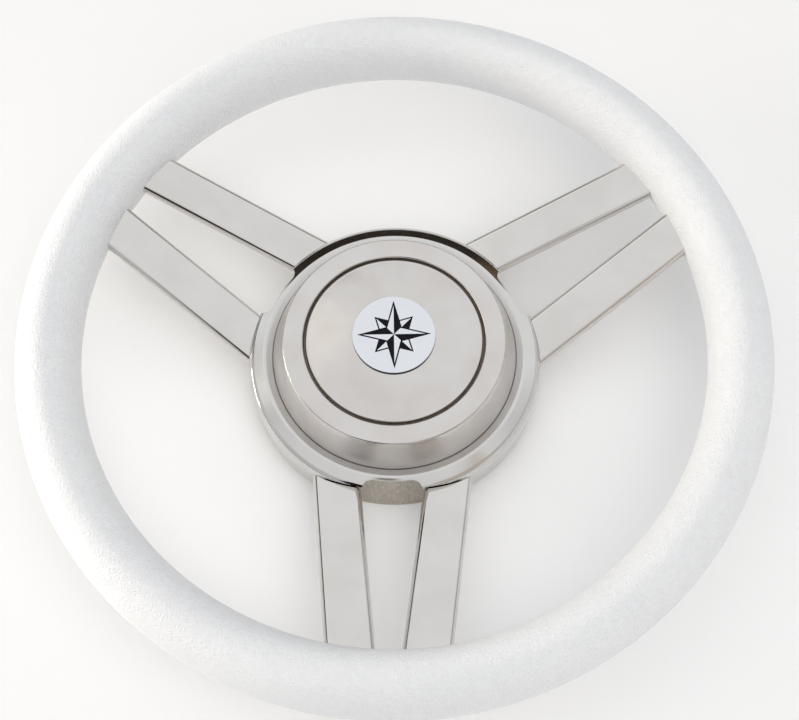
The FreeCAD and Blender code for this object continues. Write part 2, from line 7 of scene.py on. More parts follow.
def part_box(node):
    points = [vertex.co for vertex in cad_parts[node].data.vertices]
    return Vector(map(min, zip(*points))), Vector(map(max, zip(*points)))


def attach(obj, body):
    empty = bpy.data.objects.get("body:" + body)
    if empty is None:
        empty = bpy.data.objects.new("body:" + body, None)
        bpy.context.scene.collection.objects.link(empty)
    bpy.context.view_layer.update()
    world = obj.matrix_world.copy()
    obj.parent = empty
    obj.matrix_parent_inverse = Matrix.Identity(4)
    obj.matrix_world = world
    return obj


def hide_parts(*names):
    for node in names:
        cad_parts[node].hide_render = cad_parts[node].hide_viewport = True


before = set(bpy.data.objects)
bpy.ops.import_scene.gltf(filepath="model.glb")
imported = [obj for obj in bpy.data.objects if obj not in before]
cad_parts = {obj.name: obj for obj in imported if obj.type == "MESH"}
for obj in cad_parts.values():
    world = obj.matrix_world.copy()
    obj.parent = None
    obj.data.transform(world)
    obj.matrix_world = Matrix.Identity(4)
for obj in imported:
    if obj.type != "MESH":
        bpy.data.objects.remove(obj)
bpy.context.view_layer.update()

MM = 0.001
TAU = 2 * math.pi
UP = Vector((0, 0, 1))

# Rim
rim_low, rim_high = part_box("rim_grip")
RIM_RADIUS = rim_high.x
GRIP_WIDTH = 30 * MM
GRIP_DEPTH = rim_high.z - rim_low.z
RIM_PLANE = (rim_high.z + rim_low.z) / 2
CORE_RADIUS = 6 * MM

# Spoke bars, along the middle line of their pair
PAIR_ANGLES = {"right": 30.0, "left": 150.0, "bottom": 270.0}
BAR_SIDES = {"first": -1, "second": 1}
BAR_WIDTH = 21.8 * MM
BAR_THICKNESS = 4 * MM
BAR_FRONT_EDGE_RADIUS = 2.8 * MM
BAR_BACK_EDGE_RADIUS = 0.8 * MM
BAR_SPACING_AT_HUB = 49.8 * MM
BAR_SPACING_AT_GRIP = 33.4 * MM
BAR_FRONT_AT_HUB = 21 * MM
BAR_FRONT_AT_GRIP = 40.2 * MM
BAR_SEAT_RADIUS = 61 * MM
BAR_SIDE_CLEARANCE = 1 * MM
BAR_FRONT_CLEARANCE = 0.8 * MM
BAR_SEAT_CLEARANCE = 0.15 * MM

# Hub bell and body
BELL_RADIUS = 69.2 * MM
BELL_THICKNESS = 1.2 * MM
BELL_BACK_EDGE = 3.5 * MM
BELL_CREST = 23.5 * MM
BELL_CREST_RADIUS = 61.4 * MM
BELL_GUTTER_RADIUS = 57.47 * MM
BELL_OUTER_SLOPE = math.radians(20)
BELL_INNER_SLOPE = math.radians(19)
BELL_SHOULDER_BEND = 4.3 * MM
BELL_CREST_BEND = 2.6 * MM
BELL_LIP_BEND = 0.7 * MM
BELL_WINDOW_RADIUS = 63.2 * MM
BELL_WINDOW_CORNER_RADIUS = 5 * MM
BELL_TO_BODY_CLEARANCE = 0.2 * MM
BODY_TOP_RADIUS = 62.8 * MM
BODY_EDGE_CHAMFER = 0.8 * MM
WEB_TOP = 10.3 * MM
WEB_BOTTOM = 3 * MM
BACK_RIM_INNER_RADIUS = 59 * MM
BOSS_BORE_RADIUS = 17.05 * MM
SEAT_INNER_RADIUS = 33 * MM

# Centre cap
COLLAR_SKIRT_RADIUS = 57.4 * MM
COLLAR_TOP_RADIUS = 51.7 * MM
COLLAR_BEND_HEIGHT = 22.5 * MM
COLLAR_THICKNESS = 1.5 * MM
COLLAR_TOP = 40 * MM
COLLAR_SKIRT_BEND = 3 * MM
COLLAR_OUTER_BEND = 1 * MM
COLLAR_INNER_BEND = 1 * MM
COLLAR_BORE_RADIUS = 42.2 * MM
COLLAR_FLOOR_INNER_RADIUS = 32 * MM
WELL_FLOOR_TOP = 31 * MM
DISC_RADIUS = 41 * MM
DISC_EDGE = 39.7 * MM
DISC_EDGE_RADIUS = 0.7 * MM
DISC_DOME_RISE = 4.2 * MM
DISC_DOME_BULGE = 0.3 * MM
DISC_LAND_RADIUS = 19.8 * MM
DISC_WALL = 2.2 * MM
GASKET_EDGE_RADIUS = 0.3 * MM
EMBLEM_RADIUS = 19.2 * MM
EMBLEM_THICKNESS = 2 * MM
EMBLEM_RECESS = 0.5 * MM
EMBLEM_EDGE_RADIUS = 0.4 * MM
EMBLEM_FACE_TILT = 0.6
WHITE = 0
BLACK = 1

# Compass rose on the emblem, turned by degrees
ROSE_TURN = 1.8
ROSE_LONG_TIP = 17 * MM
ROSE_LONG_WAIST = 5.1 * MM
ROSE_SHORT_TIP = 12.6 * MM
ROSE_SHORT_WAIST = 6.4 * MM
ROSE_OUTLINE = 0.65 * MM
ROSE_LAYER = 0.02 * MM

# Fineness of the meshes, and how far the cutters reach past what they cut
ROUND_STEPS = 512
SMALL_ROUND_STEPS = 256
GRIP_SECTION_STEPS = 96
DOME_STEPS = 24
CORNER_STEPS = 10
SHARP_ANGLE = math.radians(35)
MERGE_DISTANCE = 0.0005 * MM
LEAST_BEND = 0.01 * MM
REACH = 100 * MM
SEAT_OVERCUT = 2 * MM
WINDOW_OVERCUT = 3 * MM

# Heights and radii that follow from the others
BELL_FLOOR = WEB_TOP + BELL_THICKNESS
GRIP_INNER_RADIUS = RIM_RADIUS - GRIP_WIDTH
LAND_HEIGHT = DISC_EDGE + DISC_DOME_RISE
GRIP_MIDDLE_RADIUS = RIM_RADIUS - GRIP_WIDTH / 2
CUT_END_RADIUS = BELL_RADIUS + BAR_WIDTH


# Mesh helpers

def linked(name, data):
    """Object of the scene for a mesh, a light or a camera."""
    item = bpy.data.objects.new(name, data)
    bpy.context.scene.collection.objects.link(item)
    return item


def mesh_object(bm, name):
    """Object of the scene for a bmesh, which is used up."""
    mesh = bpy.data.meshes.new(name)
    bm.to_mesh(mesh)
    bm.free()
    return linked(name, mesh)


def smoothed(mesh):
    mesh.shade_smooth()
    mesh.set_sharp_from_angle(angle=SHARP_ANGLE)


def finished(bm, name, node, even=True):
    """Turns a bmesh into a piece that stands for a CAD node."""
    bmesh.ops.remove_doubles(bm, verts=bm.verts, dist=MERGE_DISTANCE)
    bmesh.ops.recalc_face_normals(bm, faces=bm.faces)
    piece = mesh_object(bm, name)
    smoothed(piece.data)
    if even:
        modifier = piece.modifiers.new("even_normals", "WEIGHTED_NORMAL")
        modifier.keep_sharp = True
    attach(piece, "root")
    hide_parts(node)
    return piece


def wire(bm, points, closed=False):
    """Chain of vertices and edges in the XZ plane from (radius, height) points."""
    verts = [bm.verts.new((radius, 0, height)) for radius, height in points]
    following = verts[1:] + verts[:1] if closed else verts[1:]
    for start, end in zip(verts, following):
        bm.edges.new((start, end))
    return verts


def rounded(bm, vert, radius):
    """Rounds one corner of a chain to a true arc."""
    before, after = [(edge.other_vert(vert).co - vert.co).normalized() for edge in vert.link_edges]
    turn = math.pi - before.angle(after)
    bmesh.ops.bevel(bm, geom=[vert], offset=radius * math.tan(turn / 2), offset_type="OFFSET",
                    segments=CORNER_STEPS, profile=0.5, affect="VERTICES", material=-1)


def spun(points, corners=(), steps=ROUND_STEPS, closed=True):
    """Full turn of a section of (radius, height) points; corners is {index: radius}."""
    bm = bmesh.new()
    verts = wire(bm, points, closed)
    for index, radius in dict(corners).items():
        rounded(bm, verts[index], radius)
    spin_round(bm, steps)
    return bm


def spin_round(bm, steps):
    """Full turn of all that a bmesh holds about the wheel's axis."""
    bmesh.ops.spin(bm, geom=bm.verts[:] + bm.edges[:], cent=(0, 0, 0), axis=UP, angle=TAU,
                   steps=steps, use_merge=True)


def extruded(bm):
    """Gives the faces of a bmesh a depth and returns the new corners, still to be moved."""
    made = bmesh.ops.extrude_face_region(bm, geom=bm.faces[:])
    return [item for item in made["geom"] if isinstance(item, bmesh.types.BMVert)]


def turn_to_pair(bm, pair_angle):
    turn = Matrix.Rotation(math.radians(pair_angle), 3, "Z")
    bmesh.ops.rotate(bm, cent=(0, 0, 0), matrix=turn, verts=bm.verts)


def arc(centre, radius, start, end, steps):
    """Points of an arc between two angles."""
    angles = [start + (end - start) * step / steps for step in range(steps + 1)]
    x, y = centre
    return [(x + radius * math.cos(angle), y + radius * math.sin(angle)) for angle in angles]


def inset_corners(corners, inset):
    """Corners (radius, height, bend) of the line at a distance inside another."""
    places = [Vector(corner[:2]) for corner in corners]
    ways = [(after - before).normalized() for before, after in zip(places, places[1:])]
    sides = [Vector((-way.y, way.x)) for way in ways]
    moved = [(*(places[0] + sides[0] * inset), 0)]
    for place, (_, _, bend), first, second in zip(places[1:], corners[1:], sides, sides[1:]):
        mitre = (first + second) * inset / (1 + first.dot(second))
        left_turn = first.x * second.y - first.y * second.x > 0
        moved.append((*(place + mitre), bend - inset if left_turn else bend + inset))
    return moved + [(*(places[-1] + sides[-1] * inset), 0)]


def section(corners):
    """Points of a section and the bends at its corners, for spun."""
    points = [corner[:2] for corner in corners]
    return points, {index: corner[2] for index, corner in enumerate(corners) if corner[2] > LEAST_BEND}


def sheet_ring(corners, thickness):
    """Full turn of a sheet of one thickness, whose outside runs through the corners."""
    return spun(*section(corners + inset_corners(corners, thickness)[::-1]))


def long_drum(radius):
    """Cylinder on the wheel's axis that reaches past the wheel at both ends."""
    bm = bmesh.new()
    bmesh.ops.create_cone(bm, cap_ends=True, segments=ROUND_STEPS, radius1=radius, radius2=radius,
                          depth=2 * REACH)
    return bm


def cut(piece, cutters):
    """Cuts bmesh cutters out of a piece for good."""
    bpy.context.view_layer.update()
    for cutter in cutters:
        bmesh.ops.recalc_face_normals(cutter, faces=cutter.faces)
        tool = mesh_object(cutter, "cutter")
        tool_mesh = tool.data
        modifier = piece.modifiers.new("cut", "BOOLEAN")
        modifier.operation = "DIFFERENCE"
        modifier.solver = "MANIFOLD"
        modifier.object = tool
        result = evaluated_mesh(piece)
        piece.modifiers.remove(modifier)
        piece.data = result
        bpy.data.objects.remove(tool)
        bpy.data.meshes.remove(tool_mesh)
    smoothed(piece.data)
    return piece


def evaluated_mesh(piece):
    """The piece's mesh with its booleans done and its other modifiers left for later."""
    shown = [modifier.show_viewport for modifier in piece.modifiers]
    for modifier in piece.modifiers:
        modifier.show_viewport = modifier.type == "BOOLEAN"
    graph = bpy.context.evaluated_depsgraph_get()
    mesh = bpy.data.meshes.new_from_object(piece.evaluated_get(graph), depsgraph=graph)
    for modifier, state in zip(piece.modifiers, shown):
        modifier.show_viewport = state
    return mesh


# Bars

def bar_axes(side):
    """Start on the front face at the hub wall, run to the grip, and the section's two axes."""
    at_hub = Vector((BELL_RADIUS, side * BAR_SPACING_AT_HUB / 2, BAR_FRONT_AT_HUB))
    at_grip = Vector((GRIP_INNER_RADIUS, side * BAR_SPACING_AT_GRIP / 2, BAR_FRONT_AT_GRIP))
    run = at_grip - at_hub
    across = UP.cross(run).normalized()
    upward = run.cross(across).normalized()
    return at_hub, run, across, upward


def bar_prism(side, pair_angle, near, far, grow_side=0.0, grow_front=0.0, extra_depth=0.0):
    """Bar between two distances from the axis, turned to its pair."""
    at_hub, run, across, upward = bar_axes(side)
    start = at_hub + run * ((near - at_hub.x) / run.x)
    end = at_hub + run * ((far - at_hub.x) / run.x)
    half = BAR_WIDTH / 2 + grow_side
    back = -BAR_THICKNESS - extra_depth
    bm = bmesh.new()
    verts = wire(bm, [(half, grow_front), (-half, grow_front), (-half, back), (half, back)], closed=True)
    for vert, radius in zip(verts, (BAR_FRONT_EDGE_RADIUS,) * 2 + (BAR_BACK_EDGE_RADIUS,) * 2):
        rounded(bm, vert, radius)
    bmesh.ops.contextual_create(bm, geom=bm.edges[:])
    along = run.normalized()
    place = Matrix((across, along, upward)).transposed().to_4x4()
    place.translation = start
    bmesh.ops.transform(bm, matrix=place, verts=bm.verts)
    bmesh.ops.translate(bm, vec=end - start, verts=extruded(bm))
    turn_to_pair(bm, pair_angle)
    return bm


def make_bar(pair, side_name):
    """Bar from its round seat in the hub body to the rim's core."""
    name = "spoke_bar_%s_%s" % (pair, side_name)
    prism = bar_prism(BAR_SIDES[side_name], PAIR_ANGLES[pair], BAR_SEAT_RADIUS - BAR_WIDTH,
                      GRIP_MIDDLE_RADIUS - CORE_RADIUS)
    bar = finished(prism, name + "_polished", name)
    return cut(bar, [long_drum(BAR_SEAT_RADIUS)])


# Hub

def bell_corners():
    """Corners of the bell's outside, from its back edge over the crest to its inner rim."""
    outer_fall = (BELL_RADIUS - BELL_CREST_RADIUS) * math.tan(BELL_OUTER_SLOPE)
    inner_fall = (BELL_CREST_RADIUS - BELL_GUTTER_RADIUS) * math.tan(BELL_INNER_SLOPE)
    return [
        (BELL_RADIUS, BELL_BACK_EDGE, 0),
        (BELL_RADIUS, BELL_CREST - outer_fall, BELL_SHOULDER_BEND),
        (BELL_CREST_RADIUS, BELL_CREST, BELL_CREST_BEND),
        (BELL_GUTTER_RADIUS, BELL_CREST - inner_fall, BELL_LIP_BEND),
        (BELL_GUTTER_RADIUS, BELL_FLOOR, 0),
        (SEAT_INNER_RADIUS, BELL_FLOOR, 0),
    ]


def make_body():
    """Turned body: the web, the back rim and the cone behind the bell, with the bars' seats."""
    wall, shoulder, crest, lip = inset_corners(bell_corners(), BELL_THICKNESS + BELL_TO_BODY_CLEARANCE)[:4]
    share = (BODY_TOP_RADIUS - shoulder[0]) / (crest[0] - shoulder[0])
    cone_top = Vector((BODY_TOP_RADIUS, shoulder[1] + (crest[1] - shoulder[1]) * share))
    cone_back = Vector((wall[0], 0))
    chamfer_end = cone_back + (cone_top - cone_back).normalized() * BODY_EDGE_CHAMFER
    points, bends = section([
        (BOSS_BORE_RADIUS, WEB_TOP, 0),
        (BOSS_BORE_RADIUS, WEB_BOTTOM, 0),
        (BACK_RIM_INNER_RADIUS, WEB_BOTTOM, 0),
        (BACK_RIM_INNER_RADIUS, 0, 0),
        (wall[0] - BODY_EDGE_CHAMFER, 0, 0),
        (*chamfer_end, 0),
        (*cone_top, 0),
        crest,
        lip,
        (lip[0], WEB_TOP, 0),
    ])
    body = finished(spun(points, bends), "hub_body_satin", "hub_body")
    seats = []
    for angle in PAIR_ANGLES.values():
        for side in BAR_SIDES.values():
            seats.append(bar_prism(side, angle, BAR_SEAT_RADIUS - SEAT_OVERCUT, CUT_END_RADIUS,
                                   grow_side=BAR_SEAT_CLEARANCE, grow_front=BELL_CREST))
    return cut(body, seats)


def window_gap(pair_angle):
    """Part of a bell window between its two bars, with rounded corners at the crest."""
    radius = BELL_WINDOW_CORNER_RADIUS
    spread = (BAR_SPACING_AT_HUB - BAR_SPACING_AT_GRIP) / 2 / (GRIP_INNER_RADIUS - BELL_RADIUS)
    at_axis = BAR_SPACING_AT_HUB / 2 - BAR_WIDTH / 2 + spread * BELL_RADIUS
    square = 1 + spread ** 2
    inset = at_axis - radius * math.sqrt(square)
    reach = BELL_WINDOW_RADIUS + radius
    root = math.sqrt((inset * spread) ** 2 - square * (inset ** 2 - reach ** 2))
    centre_x = (inset * spread + root) / square
    centre = (centre_x, inset - spread * centre_x)
    turn = math.atan2(centre[1], centre[0])
    corner = arc(centre, radius, turn + math.pi, math.atan2(1, spread), CORNER_STEPS)
    half = arc((0, 0), BELL_WINDOW_RADIUS, 0, turn, CORNER_STEPS) + corner[1:]
    half.append((CUT_END_RADIUS, at_axis - spread * CUT_END_RADIUS))
    outline = [(x, -y) for x, y in half[:0:-1]] + half
    bm = bmesh.new()
    verts = [bm.verts.new((x, y, -REACH)) for x, y in outline]
    bm.faces.new(verts)
    bmesh.ops.translate(bm, vec=UP * 2 * REACH, verts=extruded(bm))
    turn_to_pair(bm, pair_angle)
    return bm


def make_bell():
    """Drawn bell with a window for each pair of bars."""
    sheet = sheet_ring(bell_corners(), BELL_THICKNESS)
    bell = finished(sheet, "hub_bell_polished", "hub_bell")
    windows = []
    for angle in PAIR_ANGLES.values():
        windows.append(window_gap(angle))
        for side in BAR_SIDES.values():
            windows.append(bar_prism(side, angle, BELL_WINDOW_RADIUS - WINDOW_OVERCUT, CUT_END_RADIUS,
                                     grow_side=BAR_SIDE_CLEARANCE, grow_front=BAR_FRONT_CLEARANCE,
                                     extra_depth=REACH))
    return cut(bell, windows)


# Centre cap

def make_collar():
    """Collar of one sheet: skirt, sloping wall, front ring, bore and the well's floor."""
    collar = sheet_ring([
        (COLLAR_SKIRT_RADIUS, BELL_FLOOR, 0),
        (COLLAR_SKIRT_RADIUS, COLLAR_BEND_HEIGHT, COLLAR_SKIRT_BEND),
        (COLLAR_TOP_RADIUS, COLLAR_TOP, COLLAR_OUTER_BEND),
        (COLLAR_BORE_RADIUS, COLLAR_TOP, COLLAR_INNER_BEND),
        (COLLAR_BORE_RADIUS, WELL_FLOOR_TOP, 0),
        (COLLAR_FLOOR_INNER_RADIUS, WELL_FLOOR_TOP, 0),
    ], COLLAR_THICKNESS)
    return finished(collar, "cap_collar_polished", "cap_collar")


def dome_arc():
    """Points of the disc's dome from the emblem's land out to the rounded edge."""
    start = Vector((DISC_LAND_RADIUS, LAND_HEIGHT))
    end = Vector((DISC_RADIUS - DISC_EDGE_RADIUS, DISC_EDGE))
    middle = (start + end) / 2 + Vector((0, DISC_DOME_BULGE))
    chord = end - start
    sagitta_line = Vector((-chord.y, chord.x)).normalized()
    rise = abs((middle - (start + end) / 2).dot(sagitta_line))
    radius = (chord.length ** 2 / 4 + rise ** 2) / (2 * rise)
    outward = sagitta_line if sagitta_line.y > 0 else -sagitta_line
    centre = (start + end) / 2 + outward * (rise - radius)
    first = math.atan2(start.y - centre.y, start.x - centre.x)
    last = math.atan2(end.y - centre.y, end.x - centre.x)
    return arc(centre, radius, first, last, DOME_STEPS)


def make_disc():
    """Domed cup with a recess for the emblem."""
    inner = DISC_RADIUS - DISC_WALL
    recess = LAND_HEIGHT - EMBLEM_RECESS
    dome = dome_arc()
    edge_centre = (DISC_RADIUS - DISC_EDGE_RADIUS, DISC_EDGE - DISC_EDGE_RADIUS)
    points = [
        (0, recess),
        (EMBLEM_RADIUS, recess),
        (EMBLEM_RADIUS, LAND_HEIGHT),
    ]
    points += dome + arc(edge_centre, DISC_EDGE_RADIUS, math.pi / 2, 0, CORNER_STEPS)[1:]
    points += [
        (DISC_RADIUS, WELL_FLOOR_TOP),
        (inner, WELL_FLOOR_TOP),
        (inner, DISC_EDGE - DISC_WALL),
        (DISC_LAND_RADIUS, LAND_HEIGHT - DISC_WALL),
        (0, LAND_HEIGHT - DISC_WALL),
    ]
    return finished(spun(points, closed=False), "cap_disc_polished", "cap_disc")


def make_gasket():
    """Ring at the bottom of the groove between disc and collar."""
    low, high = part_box("cap_gasket")
    points = [
        (DISC_RADIUS, low.z),
        (COLLAR_BORE_RADIUS, low.z),
        (COLLAR_BORE_RADIUS, high.z),
        (DISC_RADIUS, high.z),
    ]
    ring = spun(points, {2: GASKET_EDGE_RADIUS, 3: GASKET_EDGE_RADIUS}, steps=SMALL_ROUND_STEPS)
    return finished(ring, "cap_gasket_rubber", "cap_gasket")


def make_emblem():
    """Emblem disc: white on its face; its edge and back are black, painted shade for the side wall in
    shadow.
    """
    bottom = LAND_HEIGHT - EMBLEM_RECESS
    top = bottom + EMBLEM_THICKNESS
    points = [(0, bottom), (EMBLEM_RADIUS, bottom), (EMBLEM_RADIUS, top), (0, top)]
    bm = spun(points, {2: EMBLEM_EDGE_RADIUS}, steps=SMALL_ROUND_STEPS, closed=False)
    emblem = finished(bm, "emblem_face", "emblem_disc")
    # painted shade: faces that don't face up get the black enamel, standing in for the shadowed side wall
    for face in emblem.data.polygons:
        face.material_index = WHITE if face.normal.z > EMBLEM_FACE_TILT else BLACK
    return emblem


def black_star(bm, tip, waist, first_angle, height):
    """Four-pointed star as a flat field."""
    made = bmesh.ops.create_circle(bm, cap_ends=True, segments=8, radius=1.0)
    turn = math.radians(first_angle)
    for index, vert in enumerate(made["verts"]):
        radius = tip if index % 2 == 0 else waist
        angle = turn + index * TAU / 8
        vert.co = Vector((radius * math.cos(angle), radius * math.sin(angle), height))
    for face in made["verts"][0].link_faces:
        face.material_index = BLACK


def white_halves(bm, tip, waist, first_angle, height):
    """The light half of each point, on its anticlockwise side, inside the outline."""
    outer = Vector((tip, 0, 0))
    side = Vector((waist, 0, 0))
    side.rotate(Matrix.Rotation(TAU / 8, 3, "Z"))
    edge = (side - outer).normalized()
    inward = Vector((-edge.y, edge.x, 0)) * ROSE_OUTLINE
    inset_tip = tip - ROSE_OUTLINE / abs(edge.y)
    fall = inward.length / math.sin(edge.angle(side))
    inset_side = side.normalized() * (waist - fall)
    for quarter in range(4):
        turn = Matrix.Rotation(math.radians(first_angle) + quarter * TAU / 4, 3, "Z")
        corners = [Vector((0, 0, 0)), Vector((inset_tip, 0, 0)), inset_side]
        verts = [bm.verts.new(turn @ corner + UP * height) for corner in corners]
        face = bm.faces.new(verts)
        face.material_index = WHITE


def make_rose():
    """Eight-point compass rose as raised fields of black and white enamel."""
    top = LAND_HEIGHT - EMBLEM_RECESS + EMBLEM_THICKNESS
    bm = bmesh.new()
    north = 90 + ROSE_TURN
    black_star(bm, ROSE_SHORT_TIP, ROSE_SHORT_WAIST, north + 45, top + ROSE_LAYER)
    white_halves(bm, ROSE_SHORT_TIP, ROSE_SHORT_WAIST, north + 45, top + 2 * ROSE_LAYER)
    black_star(bm, ROSE_LONG_TIP, ROSE_LONG_WAIST, north, top + 3 * ROSE_LAYER)
    white_halves(bm, ROSE_LONG_TIP, ROSE_LONG_WAIST, north, top + 4 * ROSE_LAYER)
    for vert in extruded(bm):
        vert.co.z = top - ROSE_LAYER
    bmesh.ops.recalc_face_normals(bm, faces=bm.faces)
    rose = mesh_object(bm, "compass_rose")
    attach(rose, "root")
    return rose


# Rim

def make_grip():
    """Moulded grip: an oval section turned round the wheel's axis."""
    bm = bmesh.new()
    bmesh.ops.create_circle(bm, segments=GRIP_SECTION_STEPS, radius=1.0)
    bmesh.ops.scale(bm, vec=(GRIP_WIDTH / 2, GRIP_DEPTH / 2, 1), verts=bm.verts)
    upright = Matrix.Rotation(math.pi / 2, 4, "X")
    stand = Matrix.Translation((GRIP_MIDDLE_RADIUS, 0, RIM_PLANE)) @ upright
    bmesh.ops.transform(bm, matrix=stand, verts=bm.verts)
    spin_round(bm, ROUND_STEPS)
    return finished(bm, "rim_grip_grained", "rim_grip", even=False)


# Materials

class Shading:
    """Short calls for the nodes that a material and the studio both use."""

    def __init__(self, owner):
        owner.use_nodes = True
        self.nodes = owner.node_tree.nodes
        self.links = owner.node_tree.links

    def math(self, operation, first, second=0.0):
        node = self.nodes.new("ShaderNodeMath")
        node.operation = operation
        for index, value in enumerate((first, second)):
            if isinstance(value, (int, float)):
                node.inputs[index].default_value = value
            else:
                self.links.new(value, node.inputs[index])
        return node.outputs["Value"]

    def ranged(self, value, low, high, to_low=0.0, to_high=1.0, curve="LINEAR"):
        """Value from one range to another, held at its ends."""
        node = self.nodes.new("ShaderNodeMapRange")
        node.interpolation_type = curve
        ends = {"From Min": low, "From Max": high, "To Min": to_low, "To Max": to_high}
        for name, number in ends.items():
            node.inputs[name].default_value = number
        self.links.new(value, node.inputs["Value"])
        return node.outputs["Result"]

    def split(self, vector):
        node = self.nodes.new("ShaderNodeSeparateXYZ")
        self.links.new(vector, node.inputs["Vector"])
        return node.outputs

    def distance(self, x, y):
        return self.math("SQRT", self.math("ADD", self.math("MULTIPLY", x, x), self.math("MULTIPLY", y, y)))


class Finish(Shading):
    """A material being built: a Principled shader on the piece's own coordinates."""

    def __init__(self, name, **sockets):
        self.material = bpy.data.materials.new(name)
        super().__init__(self.material)
        self.shader = self.nodes["Principled BSDF"]
        for socket, value in sockets.items():
            self.shader.inputs[socket.replace("_", " ")].default_value = value
        self.place = self.nodes.new("ShaderNodeTexCoord").outputs["Object"]

    def stretched(self, scale):
        node = self.nodes.new("ShaderNodeMapping")
        node.inputs["Scale"].default_value = scale
        self.links.new(self.place, node.inputs["Vector"])
        return node.outputs["Vector"]

    def noise(self, scale, detail=2.0, vector=None, distortion=0.0):
        node = self.nodes.new("ShaderNodeTexNoise")
        node.inputs["Scale"].default_value = scale
        node.inputs["Detail"].default_value = detail
        node.inputs["Distortion"].default_value = distortion
        self.links.new(vector or self.place, node.inputs["Vector"])
        return node.outputs["Fac"]

    def cell_edges(self, scale):
        node = self.nodes.new("ShaderNodeTexVoronoi")
        node.feature = "DISTANCE_TO_EDGE"
        node.inputs["Scale"].default_value = scale
        self.links.new(self.place, node.inputs["Vector"])
        return node.outputs["Distance"]

    def blend(self, factor, first, second):
        node = self.nodes.new("ShaderNodeMix")
        node.data_type = "RGBA"
        node.inputs["A"].default_value = (*first, 1)
        node.inputs["B"].default_value = (*second, 1)
        self.links.new(factor, node.inputs["Factor"])
        return node.outputs["Result"]

    def from_axis(self, start, end):
        """Rises from 0 to 1 between two distances from the wheel's axis."""
        x, y, _ = self.split(self.place)
        return self.ranged(self.distance(x, y), start, end)

    def colour(self, output):
        self.links.new(output, self.shader.inputs["Base Color"])

    def roughness(self, output):
        self.links.new(output, self.shader.inputs["Roughness"])

    def bump(self, height, strength, distance):
        node = self.nodes.new("ShaderNodeBump")
        node.inputs["Strength"].default_value = strength
        node.inputs["Distance"].default_value = distance
        self.links.new(height, node.inputs["Height"])
        self.links.new(node.outputs["Normal"], self.shader.inputs["Normal"])


UNREACHED_ROUGHNESS = 0.24


def polished_steel(name, light, deep, wave, clear, hazy, softer=None):
    """Mirror-polished stainless: faint colour clouds, wiping haze and a slow polishing wave.
    The steel is duller from softer[0] to softer[1] from the axis, where the polishing wheel reaches less."""
    finish = Finish(name, Metallic=1.0)
    clouds = finish.noise(45.0, 3.0)
    finish.colour(finish.blend(finish.ranged(clouds, 0.35, 0.65), light, deep))
    haze = finish.noise(160.0, 4.0)
    roughness = finish.ranged(haze, 0.3, 0.7, clear, hazy)
    if softer:
        duller = finish.math("MULTIPLY", finish.from_axis(*softer), UNREACHED_ROUGHNESS)
        roughness = finish.math("ADD", roughness, duller)
    finish.roughness(roughness)
    finish.bump(finish.noise(55.0, 1.0), wave, 1 * MM)
    return finish.material


def satin_steel():
    """Turned stainless under the bell, with fine upright lines."""
    finish = Finish("satin_steel", Metallic=1.0)
    lines = finish.noise(1.0, 3.0, vector=finish.stretched((900, 900, 60)))
    shade = finish.ranged(lines, 0.3, 0.7)
    finish.colour(finish.blend(shade, (0.52, 0.48, 0.42), (0.42, 0.385, 0.335)))
    finish.roughness(finish.ranged(lines, 0.3, 0.7, 0.22, 0.34))
    finish.bump(lines, 0.2, 0.05 * MM)
    return finish.material


def machined_steel(name, light, deep):
    """Plain machined steel of the hidden pieces: fine turning marks."""
    finish = Finish(name, Metallic=1.0)
    marks = finish.noise(1.0, 2.0, vector=finish.stretched((300, 300, 2500)))
    finish.colour(finish.blend(marks, light, deep))
    finish.roughness(finish.ranged(marks, 0.3, 0.7, 0.28, 0.42))
    finish.bump(marks, 0.15, 0.05 * MM)
    return finish.material


def rubber():
    """Rubber of the cap's rings, brown-grey rather than black: painted shade and painted reflection for the
    groove round the disc.
    """
    finish = Finish("black_rubber")
    specks = finish.noise(1200.0, 3.0)
    # painted shade and reflection: brown-grey in place of black rubber, for the groove's dark brown look
    finish.colour(finish.blend(specks, (0.42, 0.35, 0.28), (0.5, 0.42, 0.35)))
    finish.roughness(finish.ranged(specks, 0.3, 0.7, 0.5, 0.7))
    finish.bump(specks, 0.3, 0.05 * MM)
    return finish.material


def grained_polymer():
    """White moulded polyurethane with a fine leather grain."""
    finish = Finish("rim_polymer")
    finish.shader.inputs["Specular IOR Level"].default_value = 0.5
    swells = finish.noise(500.0, 2.0)
    grain = finish.cell_edges(620.0)
    pores = finish.noise(1500.0, 3.0, distortion=0.6)
    folds = finish.ranged(grain, 0.0, 0.35)
    height = finish.math("ADD", finish.math("MULTIPLY", folds, 0.55), finish.math("MULTIPLY", pores, 0.45))
    height = finish.math("ADD", height, finish.math("MULTIPLY", swells, 0.6))
    tone = finish.noise(22.0, 3.0)
    shade = finish.ranged(tone, 0.3, 0.7)
    finish.colour(finish.blend(shade, (0.93, 0.942, 0.96), (0.90, 0.914, 0.935)))
    finish.roughness(finish.ranged(pores, 0.3, 0.7, 0.42, 0.56))
    finish.bump(height, 1.0, 0.42 * MM)
    return finish.material


def enamel(name, light, deep, shine):
    """Glossy enamel of the emblem; shine is how strongly it mirrors the studio."""
    finish = Finish(name)
    finish.shader.inputs["Specular IOR Level"].default_value = shine
    tone = finish.noise(300.0, 2.0)
    finish.colour(finish.blend(tone, light, deep))
    finish.roughness(finish.ranged(tone, 0.3, 0.7, 0.12, 0.18))
    finish.bump(finish.noise(420.0, 1.0), 0.05, 0.05 * MM)
    return finish.material


def dress(piece, *materials):
    """Gives a piece, or a CAD node by its name, its materials in order."""
    if isinstance(piece, str):
        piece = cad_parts[piece]
    slots = piece.data.materials
    for index, material in enumerate(materials):
        if index < len(slots):
            slots[index] = material
        else:
            slots.append(material)


# Stage

FLOOR_RADIUS = 8.0


